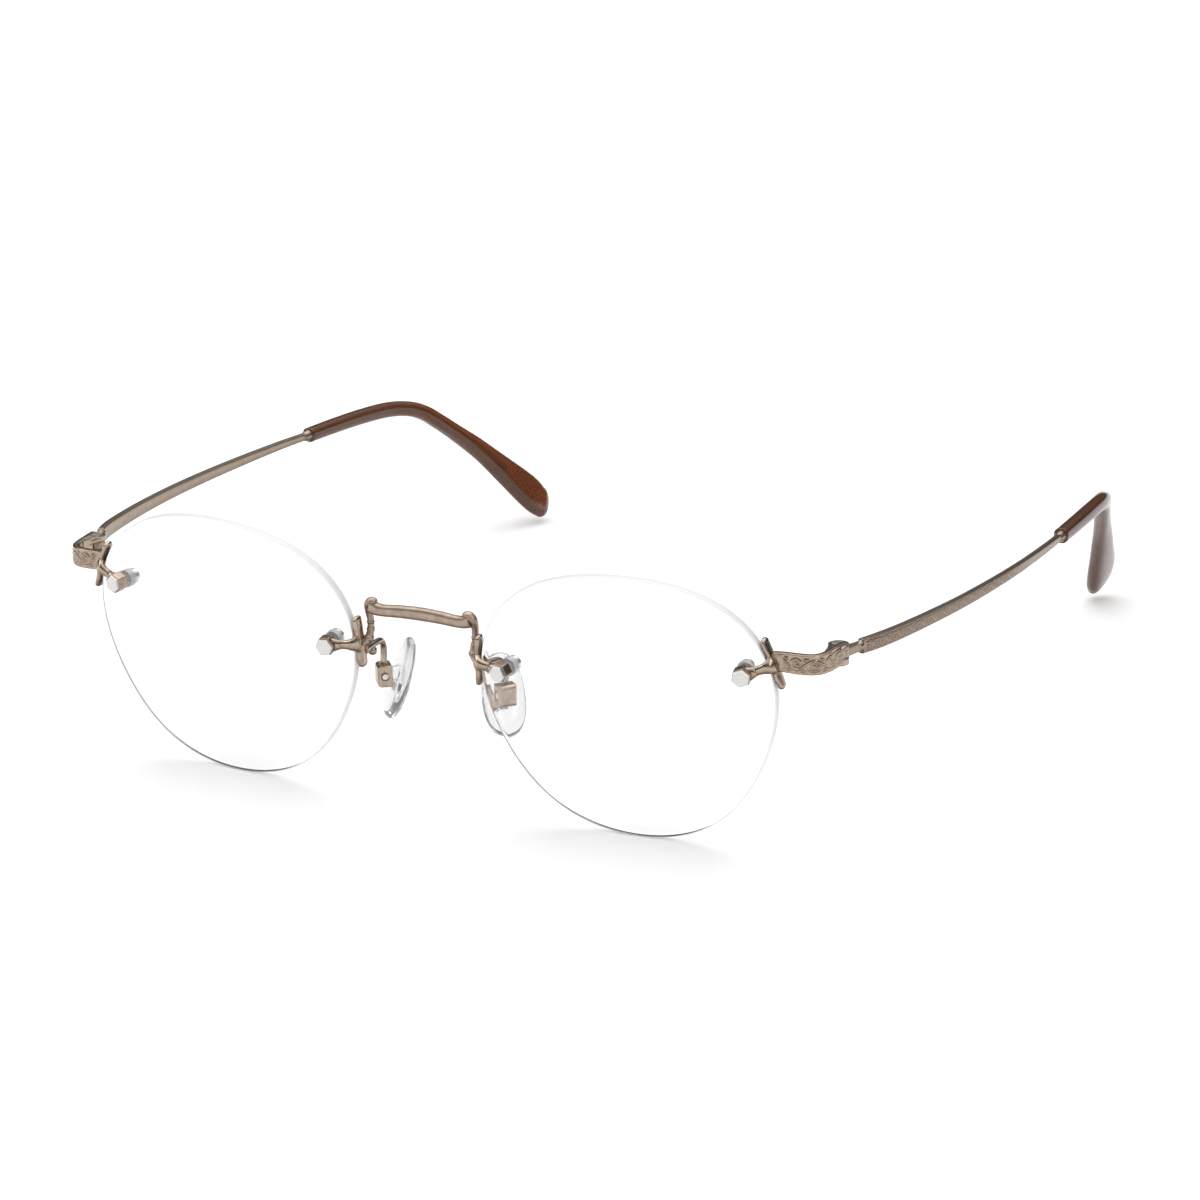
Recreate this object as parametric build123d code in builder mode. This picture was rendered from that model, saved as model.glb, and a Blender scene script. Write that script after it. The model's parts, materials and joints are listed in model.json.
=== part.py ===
from build123d import *
import os
from math import cos, radians, sin, sqrt

os.makedirs("parts", exist_ok=True)

# Rimless eyeglasses, temples open, standing on the lens bottoms and the temple tips.
# X runs across the face (+X is the wearer's left), Y from front to back, Z up.
# The left half is modelled, and the right half is its mirror image about X = 0.
# Millimetres and degrees.

# Lenses
FRONT_Y = -70.1             # the lens vertices stand here, so that the origin is at mid length
LENS_CENTRE_X = 34.64
LENS_CENTRE_Z = 21.48
PANTOSCOPIC_TILT = 6.44     # the tops of the lenses lean forward
WRAP = 4.26                 # the temporal sides of the lenses lean back
BASE_RADIUS = 120.0         # front surface of the lens
LENS_THICKNESS = 1.4
LENS_BEVEL = 0.2
LENS_MEAN_RADIUS = 22.44    # the outline is this circle, shaped by five harmonics
OVALITY = 1.136
LOWER_FULLNESS = 0.929
LOWER_LEAN = -0.113
SQUARENESS = -0.2
BROW = 0.167
OUTLINE_POINTS = 20

# Lens mounts: a hole near the edge and a shoe against the edge, in the lens's own plane
NASAL_HOLE = (-19.58, 3.5)
NASAL_SHOE_ANGLE = 170.9
TEMPORAL_HOLE = (18.86, 7.2)
TEMPORAL_SHOE_ANGLE = 20.7
FIT_GAP = 0.05
SHOE_THICKNESS = 1.15
SHOE_OVERHANG = 0.4         # how far the shoe passes the lens's front and back edges
SHOE_HALF_ANGLE = 7.2
SHOE_CAP_ANGLE = 8.7
STRAP_THICKNESS = 0.85
STRAP_END_HALF_WIDTH = 1.15
STRAP_MID_HALF_WIDTH = 0.72
BOSS_RADIUS = 1.65
BOSS_HEIGHT = 1.7
BOSS_BEVEL = 0.15

# Lens screws
SCREW_RADIUS = 0.6
SCREW_HEAD_RADIUS = 1.4
SCREW_HEAD_HEIGHT = 0.45
SCREW_CLEARANCE = 0.05
BUSH_RADIUS = 1.0
WASHER_RADIUS = 1.4
WASHER_THICKNESS = 1.1
NUT_RADIUS = 1.2
NUT_HEIGHT = 1.1
NUT_SLOT_WIDTH = 0.4
NUT_SLOT_DEPTH = 0.4
SCREW_TAIL = 0.25           # what stands out of the nut

# Bridge
BRIDGE_Y = 1.3
BRIDGE_DEPTH = 1.5
BRIDGE_BAR_BOTTOM = 30.1
BRIDGE_BAR_TOP = 32.2
BRIDGE_NECK = (6.6, 31.85)      # x and height of the bar's top beside each knob
BRIDGE_KNOB = (8.2, 32.75)
BRIDGE_END = (9.4, 31.4)
BRIDGE_KNOB_RISE = 0.35     # slope of the bar's top at each knob
BRIDGE_ROUNDING = 0.3
BRIDGE_LEG_RADIUS = 0.62
BRIDGE_LEG = ((8.7, 1.4, 31.2), (8.95, 2.0, 29.0), (8.95, 1.5, 26.4), (9.6, 1.05, 25.3))
BRIDGE_BEAD_RADIUS = 0.85

# Endpiece and hinge
PLATE_BOTTOM = 29.3
PLATE_HEIGHT = 3.1
PLATE_THICKNESS = 1.25
PLATE_PATH = ((58.9, 4.55), (63.95, 5.0), (64.95, 12.9))
PLATE_BEND_RADIUS = 2.6
HINGE_X = 64.05
HINGE_Y = 12.1
KNUCKLE_RADIUS = 1.6
KNUCKLE_BOTTOM = 29.1
KNUCKLE_TOP = 32.4
KNUCKLE_ROOT_Y = 8.2        # the leaves of the hinge grow out of the plate from here
TONGUE_BOTTOM = 30.15
TONGUE_THICKNESS = 1.2
TONGUE_RADIUS = 1.45
TONGUE_GAP = 0.06
SLOT_RADIUS = 1.75
HINGE_SCREW_RADIUS = 0.6
HINGE_BORE_RADIUS = 0.65
HINGE_HEAD_RADIUS = 1.05
HINGE_HEAD_HEIGHT = 0.5

# Temple: centre points in plan (x, y) and in side view (y, z), with the bar's half sizes there
TEMPLE_PLAN = ((65.85, 16.6), (67.8, 25.7), (69.45, 42.0), (69.85, 60.0), (69.25, 77.5), (68.55, 85.6))
TEMPLE_HALF_WIDTH = (0.6, 0.6, 0.58, 0.55, 0.52, 0.52)
TEMPLE_SIDE = ((16.6, 30.75), (34.0, 30.2), (60.0, 29.2), (85.6, 28.25))
TEMPLE_HALF_HEIGHT = (1.15, 1.05, 0.82, 0.6)
TEMPLE_CHAMFER = 0.2
TEMPLE_LONG_EDGE = 20       # only the bar's lengthwise edges are longer than this
NECK_HALF_WIDTH = 0.6
NECK_ROOT_WIDTH = 1.16      # outer half width of the neck where it leaves the hinge
COLLAR_RADIUS = 0.95
COLLAR_LENGTH = 1.2

# Temple tip: a round sleeve about the wire, and a paddle through stations (x, y, z) with its
# half thickness and half width
SLEEVE_RADIUS = 1.25
PADDLE_STATIONS = (
    (61.9, 119.5, 22.5, 1.2, 1.2),
    (58.1, 129.3, 14.2, 1.35, 2.4),
    (54.2, 138.3, 5.2, 1.45, 3.25),
    (52.6, 141.65, 0.95, 0.6, 1.4),
)
PADDLE_TWIST = 34.0         # the paddle's outer face turns down towards the ear
# The core wire's corners, joined by arcs
WIRE_PATH = (
    (68.5, 86.0, 28.25), (67.1, 101.5, 27.7), (64.7, 113.6, 26.3), (61.4, 120.6, 21.7), (58.1, 129.3, 14.2),
)
WIRE_BEND_RADII = (40, 5, 8)
WIRE_RADIUS = 0.55

# Nose pads
ARM_RADIUS = 0.52
ARM_PATH = ((10.0, 2.0, 23.95), (10.2, 5.2, 23.9), (10.6, 8.75, 23.5), (10.75, 8.65, 19.55))
ARM_KNEE_RADIUS = 1.6
ARM_BOSS = (10.0, 4.1, 23.15)
ARM_BOSS_RADIUS = 0.75
BOX_CENTRE = (10.75, 8.6, 17.85)
BOX_WIDTH = 2.3             # outwards from the nose
BOX_DEPTH = 3.0             # between the faces with the pin's holes
BOX_HEIGHT = 3.4
BOX_WALL = 0.35
BOX_CORNER = 0.6
BOX_HOLE_RADIUS = 0.6
PAD_CENTRE = (8.95, 10.7, 16.85)
PAD_LENGTH = 13.6
PAD_WIDTH = 7.4
PAD_THICKNESS = 1.8
PAD_ROUNDING = 0.42         # rim radius as a share of the thickness
PAD_LEAN = 18.7             # the pads' tops stand nearer together than their bottoms
PAD_SPLAY = 40.0            # and their front edges nearer than their back edges
CORE_TAB_DEPTH = 1.8
CORE_TAB_HEIGHT = 2.0
CORE_TAB_REACH = 0.35
CORE_TAB_LENGTH = 2.7       # from the pin to the middle of the pad
CORE_PIN_RADIUS = 0.53
CORE_PLATE_LENGTH = 4.2
CORE_PLATE_WIDTH = 2.4
CORE_PLATE_THICKNESS = 0.5

FLOOR = Plane(origin=(0, FRONT_Y, 0))
SIDE = Plane(origin=(0, FRONT_Y, 0), x_dir=(0, 1, 0), z_dir=(1, 0, 0))
TILT_COS, TILT_SIN = cos(radians(PANTOSCOPIC_TILT)), sin(radians(PANTOSCOPIC_TILT))
WRAP_COS, WRAP_SIN = cos(radians(WRAP)), sin(radians(WRAP))
LENS_PLANE = Plane(
    origin=(LENS_CENTRE_X, FRONT_Y, LENS_CENTRE_Z),
    x_dir=(WRAP_COS, WRAP_SIN * TILT_COS, WRAP_SIN * TILT_SIN),
    z_dir=(WRAP_SIN, -WRAP_COS * TILT_COS, -WRAP_COS * TILT_SIN),
)
SPHERE_CENTRE = LENS_PLANE.from_local_coords((0, 0, -BASE_RADIUS))
LEAN_COS, LEAN_SIN = cos(radians(PAD_LEAN)), sin(radians(PAD_LEAN))
SPLAY_COS, SPLAY_SIN = cos(radians(PAD_SPLAY)), sin(radians(PAD_SPLAY))
PAD_PLANE = Plane(
    origin=(PAD_CENTRE[0], FRONT_Y + PAD_CENTRE[1], PAD_CENTRE[2]),
    x_dir=(SPLAY_SIN, SPLAY_COS, 0),
    z_dir=(LEAN_COS * SPLAY_COS, -LEAN_COS * SPLAY_SIN, LEAN_SIN),
)
# The pad clip's own planes: x points away from the nose in the first, and the second is square to the pin
BOX_PLANE = Plane(
    origin=(BOX_CENTRE[0], FRONT_Y + BOX_CENTRE[1], BOX_CENTRE[2]),
    x_dir=(SPLAY_COS, -SPLAY_SIN, 0),
)
PIN_PLANE = Plane(origin=BOX_PLANE.origin, x_dir=(0, 0, 1), z_dir=(SPLAY_SIN, SPLAY_COS, 0))


def at(x, y, z):
    """A point given from the lens vertex plane, in the model's frame."""
    return Vector(x, FRONT_Y + y, z)


def outline_point(angle, grow=0.0):
    """A point of the lens outline, in the lens plane, with the outline grown by a margin."""
    a = radians(angle)
    radius = LENS_MEAN_RADIUS + OVALITY * cos(2 * a) + LOWER_FULLNESS * sin(3 * a)
    radius += LOWER_LEAN * cos(3 * a) + SQUARENESS * cos(4 * a) + BROW * sin(5 * a) + grow
    return (radius * cos(a), radius * sin(a))


def sag(u, w):
    """How far the lens's front surface lies behind its vertex."""
    return BASE_RADIUS - sqrt(BASE_RADIUS**2 - u**2 - w**2)


def hole_plane(hole, shoe_angle):
    """The plane touching the lens's front at a hole, facing forward, with x towards the shoe."""
    origin = LENS_PLANE.from_local_coords((*hole, -sag(*hole)))
    edge = outline_point(shoe_angle)
    shoe = LENS_PLANE.from_local_coords((*edge, -sag(*edge)))
    normal = (origin - SPHERE_CENTRE).normalized()
    reach = shoe - origin
    return Plane(origin=origin, x_dir=reach - normal * reach.dot(normal), z_dir=normal)


def strap_reach(hole, shoe_angle):
    """Distance from the hole's axis to the outer face of the shoe."""
    u, w = outline_point(shoe_angle, FIT_GAP + SHOE_THICKNESS)
    return sqrt((u - hole[0]) ** 2 + (w - hole[1]) ** 2)


def make_lens():
    with BuildPart() as lens:
        with BuildSketch(LENS_PLANE.offset(LENS_THICKNESS)):
            with BuildLine():
                step = 360 / OUTLINE_POINTS
                Spline(*[outline_point(i * step) for i in range(OUTLINE_POINTS)], periodic=True)
            make_face()
        extrude(amount=-4 * LENS_THICKNESS)
        with Locations(SPHERE_CENTRE):
            Sphere(BASE_RADIUS, mode=Mode.INTERSECT)
            Sphere(BASE_RADIUS - LENS_THICKNESS, mode=Mode.SUBTRACT)
        chamfer(lens.edges().filter_by(lambda edge: edge.length > LENS_MEAN_RADIUS), LENS_BEVEL)
        for hole, shoe_angle in ((NASAL_HOLE, NASAL_SHOE_ANGLE), (TEMPORAL_HOLE, TEMPORAL_SHOE_ANGLE)):
            with Locations(hole_plane(hole, shoe_angle).offset(LENS_THICKNESS)):
                Hole(BUSH_RADIUS + FIT_GAP, depth=3 * LENS_THICKNESS)
    return lens


def make_bracket(hole, shoe_angle):
    """A shoe against the lens edge, a strap over the lens's front and a six-sided boss."""
    front = hole_plane(hole, shoe_angle)
    reach = strap_reach(hole, shoe_angle)
    edge_depth = sag(*outline_point(shoe_angle))
    with BuildPart() as bracket:
        with BuildSketch(LENS_PLANE.offset(SHOE_OVERHANG - edge_depth)):
            with BuildLine():
                turns = [shoe_angle + turn * SHOE_HALF_ANGLE for turn in (-1, 0, 1)]
                inner = Spline(*[outline_point(turn, FIT_GAP) for turn in turns])
                outer = Spline(*[outline_point(turn, FIT_GAP + SHOE_THICKNESS) for turn in turns])
                for end in (0, 1):
                    cap_angle = shoe_angle + (2 * end - 1) * SHOE_CAP_ANGLE
                    cap = outline_point(cap_angle, FIT_GAP + SHOE_THICKNESS / 2)
                    ThreePointArc(inner @ end, cap, outer @ end)
            make_face()
        extrude(amount=-(LENS_THICKNESS + 2 * SHOE_OVERHANG))
        with BuildSketch(front.offset(FIT_GAP)):
            with BuildLine():
                low = ThreePointArc(
                    (0, -STRAP_END_HALF_WIDTH),
                    (reach / 2, -STRAP_MID_HALF_WIDTH),
                    (reach, -STRAP_END_HALF_WIDTH),
                )
                high = mirror(low, about=Plane.XZ).edges()[0]
                Line(low @ 0, high @ 0)
                Line(low @ 1, high @ 1)
            make_face()
        extrude(amount=STRAP_THICKNESS)
        with BuildSketch(front.offset(FIT_GAP)):
            RegularPolygon(BOSS_RADIUS, 6)
        extrude(amount=BOSS_HEIGHT)
        rim = bracket.faces().sort_by(Axis(front.origin, front.z_dir))[-1]
        chamfer(rim.edges(), BOSS_BEVEL)
        with Locations(front.offset(LENS_THICKNESS + BOSS_HEIGHT)):
            Hole(SCREW_RADIUS + SCREW_CLEARANCE, depth=3 * LENS_THICKNESS)
    return bracket


def make_lens_screw(hole, shoe_angle):
    front = hole_plane(hole, shoe_angle)
    head_seat = FIT_GAP + BOSS_HEIGHT
    tail = LENS_THICKNESS + FIT_GAP + WASHER_THICKNESS + NUT_HEIGHT + SCREW_TAIL
    with BuildPart() as screw:
        with BuildSketch(front.offset(head_seat)):
            RegularPolygon(SCREW_HEAD_RADIUS, 6)
        extrude(amount=SCREW_HEAD_HEIGHT)
        chamfer(screw.faces().sort_by(Axis(front.origin, front.z_dir))[-1].edges(), BOSS_BEVEL)
        with BuildSketch(front.offset(head_seat)):
            Circle(SCREW_RADIUS)
        extrude(amount=-(head_seat + tail))
    return screw


def make_ring(hole, shoe_angle, start, length, radius, bore):
    """A ring on a lens screw, from start to start + length behind the lens's front surface."""
    front = hole_plane(hole, shoe_angle)
    with BuildPart() as ring:
        with BuildSketch(front.offset(-start)):
            Circle(radius)
            Circle(bore, mode=Mode.SUBTRACT)
        extrude(amount=-length)
    return ring


def make_bush(hole, shoe_angle):
    bore = SCREW_RADIUS + SCREW_CLEARANCE
    return make_ring(hole, shoe_angle, 0, LENS_THICKNESS, BUSH_RADIUS, bore)


def make_washer(hole, shoe_angle):
    bore = SCREW_RADIUS + SCREW_CLEARANCE
    return make_ring(hole, shoe_angle, LENS_THICKNESS + FIT_GAP, WASHER_THICKNESS, WASHER_RADIUS, bore)


def make_nut(hole, shoe_angle):
    start = LENS_THICKNESS + FIT_GAP + WASHER_THICKNESS
    front = hole_plane(hole, shoe_angle)
    back = Axis(front.origin, -front.z_dir)
    with BuildPart() as nut:
        add(make_ring(hole, shoe_angle, start, NUT_HEIGHT, NUT_RADIUS, SCREW_RADIUS + FIT_GAP / 2).part)
        chamfer(nut.faces().sort_by(back)[-1].outer_wire().edges(), BOSS_BEVEL)
        with BuildSketch(front.offset(-start - NUT_HEIGHT)):
            Rectangle(3 * NUT_RADIUS, NUT_SLOT_WIDTH)
        extrude(amount=NUT_SLOT_DEPTH, mode=Mode.SUBTRACT)
    return nut


def make_bridge():
    """A forged bar with a raised knob at each end and a cranked leg down to each nasal bracket."""
    with BuildPart() as bridge:
        with BuildSketch(Plane.XZ.offset(-(FRONT_Y + BRIDGE_Y - BRIDGE_DEPTH / 2))):
            with BuildLine():
                high = [(-x, z) for x, z in (BRIDGE_KNOB, BRIDGE_NECK)]
                top = Spline(
                    *high, (0, BRIDGE_BAR_TOP), BRIDGE_NECK, BRIDGE_KNOB,
                    tangents=((1, -BRIDGE_KNOB_RISE), (1, BRIDGE_KNOB_RISE)),
                )
                right = Spline(
                    BRIDGE_KNOB, BRIDGE_END, (BRIDGE_KNOB[0], BRIDGE_BAR_BOTTOM),
                    tangents=((1, 0), (-1, 0)),
                )
                left = mirror(right, about=Plane.YZ).edges()[0]
                Line(right @ 1, left @ 1)
            make_face()
        extrude(amount=-BRIDGE_DEPTH)
        fillet(bridge.edges().filter_by(Axis.Y, reverse=True), BRIDGE_ROUNDING)
        for side in (1, -1):
            points = [at(side * x, y, z) for x, y, z in BRIDGE_LEG]
            with BuildLine():
                leg = Spline(*points)
            with BuildSketch(Plane(origin=leg @ 0, z_dir=leg % 0)):
                Circle(BRIDGE_LEG_RADIUS)
            sweep(path=leg)
            with Locations(points[2]):
                Sphere(BRIDGE_BEAD_RADIUS)
    return bridge


def make_endpiece():
    """A curved plate from the temporal bracket back to the two leaves of the hinge."""
    with BuildPart() as endpiece:
        with BuildLine(FLOOR.offset(PLATE_BOTTOM + PLATE_HEIGHT / 2)):
            path = FilletPolyline(*PLATE_PATH, radius=PLATE_BEND_RADIUS)
        with BuildSketch(Plane(origin=path @ 0, x_dir=(0, 0, 1), z_dir=path % 0)):
            RectangleRounded(PLATE_HEIGHT, PLATE_THICKNESS, PLATE_THICKNESS / 4)
        sweep(path=path)
        with BuildSketch(FLOOR.offset(KNUCKLE_BOTTOM)):
            with Locations((HINGE_X, HINGE_Y)):
                Circle(KNUCKLE_RADIUS)
            with BuildLine():
                Polyline(
                    (HINGE_X - KNUCKLE_RADIUS, HINGE_Y),
                    (PLATE_PATH[2][0] - PLATE_THICKNESS, KNUCKLE_ROOT_Y),
                    (PLATE_PATH[2][0], KNUCKLE_ROOT_Y),
                    (PLATE_PATH[2][0] + PLATE_THICKNESS / 4, HINGE_Y),
                    close=True,
                )
            make_face()
        extrude(amount=KNUCKLE_TOP - KNUCKLE_BOTTOM)
        with BuildSketch(FLOOR.offset(TONGUE_BOTTOM - TONGUE_GAP)):
            with Locations((HINGE_X, HINGE_Y)):
                Circle(SLOT_RADIUS)
                Rectangle(3 * SLOT_RADIUS, 2 * SLOT_RADIUS, align=(Align.CENTER, Align.MIN))
        extrude(amount=TONGUE_THICKNESS + 2 * TONGUE_GAP, mode=Mode.SUBTRACT)
        with BuildSketch(FLOOR.offset(KNUCKLE_TOP - HINGE_HEAD_HEIGHT)):
            with Locations((HINGE_X, HINGE_Y)):
                Circle(HINGE_HEAD_RADIUS + FIT_GAP)
        extrude(amount=2 * HINGE_HEAD_HEIGHT, mode=Mode.SUBTRACT)
        with BuildSketch(FLOOR.offset(KNUCKLE_TOP)):
            with Locations((HINGE_X, HINGE_Y)):
                Circle(HINGE_BORE_RADIUS)
        extrude(amount=KNUCKLE_BOTTOM - KNUCKLE_TOP, mode=Mode.SUBTRACT)
    return endpiece


def make_hinge_screw():
    with BuildPart() as screw:
        with BuildSketch(FLOOR.offset(KNUCKLE_TOP)):
            with Locations((HINGE_X, HINGE_Y)):
                Circle(HINGE_HEAD_RADIUS)
        extrude(amount=-HINGE_HEAD_HEIGHT)
        with BuildSketch(FLOOR.offset(KNUCKLE_TOP)):
            with Locations((HINGE_X, HINGE_Y)):
                Circle(HINGE_SCREW_RADIUS)
        extrude(amount=KNUCKLE_BOTTOM - KNUCKLE_TOP)
        with BuildSketch(FLOOR.offset(KNUCKLE_TOP)):
            with Locations((HINGE_X, HINGE_Y)):
                Rectangle(3 * HINGE_HEAD_RADIUS, NUT_SLOT_WIDTH)
        extrude(amount=-HINGE_HEAD_HEIGHT / 2, mode=Mode.SUBTRACT)
    return screw


def paddle_planes():
    """Planes square to the paddle's line of stations, with y in the twisted width direction."""
    points = [at(*station[:3]) for station in PADDLE_STATIONS]
    planes = []
    for i, point in enumerate(points):
        along = (points[min(i + 1, len(points) - 1)] - points[max(i - 1, 0)]).normalized()
        level = Plane(origin=point, x_dir=along.cross(Vector(0, 0, 1)).normalized(), z_dir=along)
        planes.append(level.rotated((0, 0, PADDLE_TWIST)))
    return planes


def make_wire(radius):
    """The round core wire that runs from the bar into the tip."""
    with BuildPart() as wire:
        with BuildLine():
            path = FilletPolyline(*[at(*point) for point in WIRE_PATH], radius=WIRE_BEND_RADII)
        with BuildSketch(Plane(origin=path @ 0, z_dir=path % 0)):
            Circle(radius)
        sweep(path=path)
    return wire


def make_temple_tip():
    """An acetate sleeve that widens into a paddle, bored for the core wire."""
    with BuildPart() as tip:
        for plane, station in zip(paddle_planes(), PADDLE_STATIONS):
            with BuildSketch(plane):
                Ellipse(station[3], station[4])
        loft()
        add(make_wire(SLEEVE_RADIUS).part)
        add(make_wire(WIRE_RADIUS + FIT_GAP / 2).part, mode=Mode.SUBTRACT)
    return tip


def band(centres, halves):
    """The closed outline of a tapering band about a line of centre points."""
    first = [(x - half, y) for (x, y), half in zip(centres, halves)]
    second = [(x + half, y) for (x, y), half in zip(centres, halves)]
    return first, second


def make_temple():
    """The tapering bar, with the hinge tongue in front and the core wire behind."""
    inner, outer = band(TEMPLE_PLAN, TEMPLE_HALF_WIDTH)
    low = [(y, z - half) for (y, z), half in zip(TEMPLE_SIDE, TEMPLE_HALF_HEIGHT)]
    high = [(y, z + half) for (y, z), half in zip(TEMPLE_SIDE, TEMPLE_HALF_HEIGHT)]
    bar_x, bar_y = TEMPLE_PLAN[0]
    with BuildPart() as temple:
        with BuildSketch(FLOOR):
            with BuildLine():
                inside = Spline(*inner)
                outside = Spline(*outer)
                Line(inside @ 0, outside @ 0)
                Line(inside @ 1, outside @ 1)
            make_face()
        extrude(amount=TEMPLE_SIDE[0][1] + 2 * TEMPLE_HALF_HEIGHT[0])
        with BuildSketch(SIDE):
            with BuildLine():
                under = Spline(*low)
                over = Spline(*high)
                Line(under @ 0, over @ 0)
                Line(under @ 1, over @ 1)
            make_face()
        extrude(amount=2 * bar_x, mode=Mode.INTERSECT)
        chamfer(temple.edges().filter_by(lambda edge: edge.length > TEMPLE_LONG_EDGE), TEMPLE_CHAMFER)
        with BuildSketch(FLOOR.offset(TONGUE_BOTTOM)):
            with Locations((HINGE_X, HINGE_Y)):
                Circle(TONGUE_RADIUS)
            with BuildLine():
                Polyline(
                    (HINGE_X - NECK_HALF_WIDTH, HINGE_Y),
                    (HINGE_X + NECK_ROOT_WIDTH, HINGE_Y),
                    (bar_x + NECK_HALF_WIDTH, bar_y + NECK_HALF_WIDTH),
                    (bar_x - NECK_HALF_WIDTH, bar_y + NECK_HALF_WIDTH),
                    close=True,
                )
            make_face()
            with Locations((HINGE_X, HINGE_Y)):
                Circle(HINGE_BORE_RADIUS, mode=Mode.SUBTRACT)
        extrude(amount=TONGUE_THICKNESS)
        wire_start, wire_next = at(*WIRE_PATH[0]), at(*WIRE_PATH[1])
        with BuildSketch(Plane(origin=wire_start, z_dir=wire_start - wire_next)):
            Circle(COLLAR_RADIUS)
        extrude(amount=COLLAR_LENGTH)
        add(make_wire(WIRE_RADIUS).part)
    return temple


def make_pad_arm():
    """A wire from the nasal bracket that bends down to the pad clip, with a solder bead near its root."""
    with BuildPart() as arm:
        with BuildLine():
            path = FilletPolyline(*[at(*point) for point in ARM_PATH], radius=ARM_KNEE_RADIUS)
        with BuildSketch(Plane(origin=path @ 0, z_dir=path % 0)):
            Circle(ARM_RADIUS)
        sweep(path=path)
        with Locations(at(*ARM_BOSS)):
            Sphere(ARM_BOSS_RADIUS)
    return arm


def make_pad_box():
    """A clip with rounded corners, open towards the nose, with a hole for the pin through each side."""
    with BuildPart() as box:
        with BuildSketch(BOX_PLANE.offset(-BOX_HEIGHT / 2)):
            Rectangle(BOX_WIDTH, BOX_DEPTH)
        extrude(amount=BOX_HEIGHT)
        fillet(box.faces().sort_by(Axis(BOX_PLANE.origin, BOX_PLANE.x_dir))[-1].edges(), BOX_CORNER)
        with BuildSketch(BOX_PLANE.offset(BOX_WALL - BOX_HEIGHT / 2)):
            with Locations((-BOX_WALL, 0)):
                Rectangle(BOX_WIDTH, BOX_DEPTH - 2 * BOX_WALL)
        extrude(amount=BOX_HEIGHT - 2 * BOX_WALL, mode=Mode.SUBTRACT)
        with BuildSketch(PIN_PLANE.offset(-BOX_DEPTH)):
            Circle(BOX_HOLE_RADIUS)
        extrude(amount=2 * BOX_DEPTH, mode=Mode.SUBTRACT)
    return box


def make_pad_core():
    """The metal core: a plate inside the pad, a tab into the clip and a pin through its holes."""
    with BuildPart() as core:
        with BuildSketch(PAD_PLANE.offset(-CORE_PLATE_THICKNESS / 2)):
            Rectangle(CORE_PLATE_WIDTH, CORE_PLATE_LENGTH)
        extrude(amount=CORE_PLATE_THICKNESS)
        with BuildSketch(BOX_PLANE.offset(-CORE_TAB_HEIGHT / 2)):
            with Locations((CORE_TAB_REACH, 0)):
                Rectangle(
                    CORE_TAB_REACH + CORE_TAB_LENGTH, CORE_TAB_DEPTH, align=(Align.MAX, Align.CENTER)
                )
        extrude(amount=CORE_TAB_HEIGHT)
        with BuildSketch(PIN_PLANE.offset(-BOX_DEPTH / 2)):
            Circle(CORE_PIN_RADIUS)
        extrude(amount=BOX_DEPTH)
    return core


def make_nose_pad():
    """A soft clear pad, an oval with well rounded rims, moulded round its core."""
    with BuildPart() as pad:
        with BuildSketch(PAD_PLANE.offset(-PAD_THICKNESS / 2)):
            Ellipse(PAD_WIDTH / 2, PAD_LENGTH / 2)
        extrude(amount=PAD_THICKNESS)
        fillet(pad.edges(), PAD_THICKNESS * PAD_ROUNDING)
        add(make_pad_core().part, mode=Mode.SUBTRACT)
    return pad


NASAL = (NASAL_HOLE, NASAL_SHOE_ANGLE)
TEMPORAL = (TEMPORAL_HOLE, TEMPORAL_SHOE_ANGLE)
left_pieces = {
    "lens": make_lens(),
    "nasal_bracket": make_bracket(*NASAL),
    "nasal_lens_screw": make_lens_screw(*NASAL),
    "nasal_lens_bush": make_bush(*NASAL),
    "nasal_lens_washer": make_washer(*NASAL),
    "nasal_lens_nut": make_nut(*NASAL),
    "temporal_bracket": make_bracket(*TEMPORAL),
    "temporal_lens_screw": make_lens_screw(*TEMPORAL),
    "temporal_lens_bush": make_bush(*TEMPORAL),
    "temporal_lens_washer": make_washer(*TEMPORAL),
    "temporal_lens_nut": make_nut(*TEMPORAL),
    "endpiece": make_endpiece(),
    "hinge_screw": make_hinge_screw(),
    "temple": make_temple(),
    "temple_tip": make_temple_tip(),
    "pad_arm": make_pad_arm(),
    "pad_box": make_pad_box(),
    "pad_core": make_pad_core(),
    "nose_pad": make_nose_pad(),
}

bridge_bar = make_bridge()
bridge_bar.part.label = "bridge_bar"
export_step(bridge_bar.part, "parts/bridge_bar.step")
for name, piece in left_pieces.items():
    piece.part.label = f"{name}_left"
    export_step(piece.part, f"parts/{name}_left.step")
    with BuildPart() as twin:
        mirror(piece.part, about=Plane.YZ)
    twin.part.label = f"{name}_right"
    export_step(twin.part, f"parts/{name}_right.step")
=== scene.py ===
import json
import math

import bpy
from mathutils import Matrix, Quaternion, Vector, kdtree

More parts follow.
